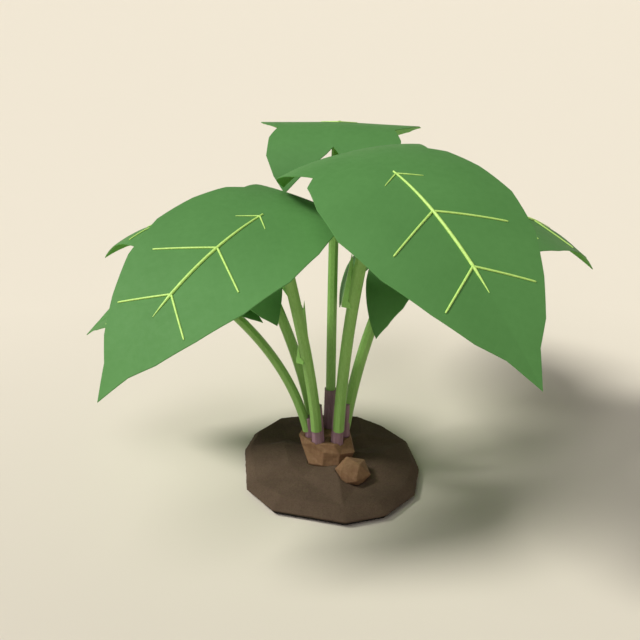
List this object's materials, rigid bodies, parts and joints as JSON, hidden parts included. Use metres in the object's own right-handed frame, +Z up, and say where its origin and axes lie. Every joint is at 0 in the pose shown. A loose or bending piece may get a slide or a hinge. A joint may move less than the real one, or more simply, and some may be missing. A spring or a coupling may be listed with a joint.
{
  "type": "taro plant",
  "caption": "Young taro plant with large drooping heart-shaped leaves on bowed stalks, rising from a corm half sunk in a low mound of soil.",
  "frame": {"origin": "centre of the soil mound's flat underside, under the corm", "axes": "+Z up, +X to the viewer's right as the plant is seen from its front, +Y to the back"},
  "size_m": [0.5916, 0.6038, 0.3709],
  "materials": {
    "soil": "dry and crumbly",
    "corm_skin": "fibrous brown skin with ring scars",
    "sheath": "satin purple, ribbed along its length",
    "petiole": "satin green, finely striped along its length",
    "spear": "satin light green",
    "blade": "soft waxy sheen, fine veins",
    "vein": "satin yellow-green"
  },
  "bodies": {
    "root": {"soil_mound": "soil", "corm": "corm_skin", "side_corm": "corm_skin", "sheath_front_right": "sheath", "sheath_front_left": "sheath", "sheath_back": "sheath", "sheath_right": "sheath", "sheath_left": "sheath", "sheath_low_left": "sheath", "petiole_front_right": "petiole", "petiole_front_left": "petiole", "petiole_back": "petiole", "petiole_right": "petiole", "petiole_left": "petiole", "petiole_low_left": "petiole", "blade_front_right": "blade", "blade_front_left": "blade", "blade_back": "blade", "blade_right": "blade", "blade_left": "blade", "blade_low_left": "blade", "veins_front_right": "vein", "veins_front_left": "vein", "veins_back": "vein", "veins_right": "vein", "veins_left": "vein", "veins_low_left": "vein", "spear_left": "spear", "spear_right": "spear"}
  },
  "joints": []
}
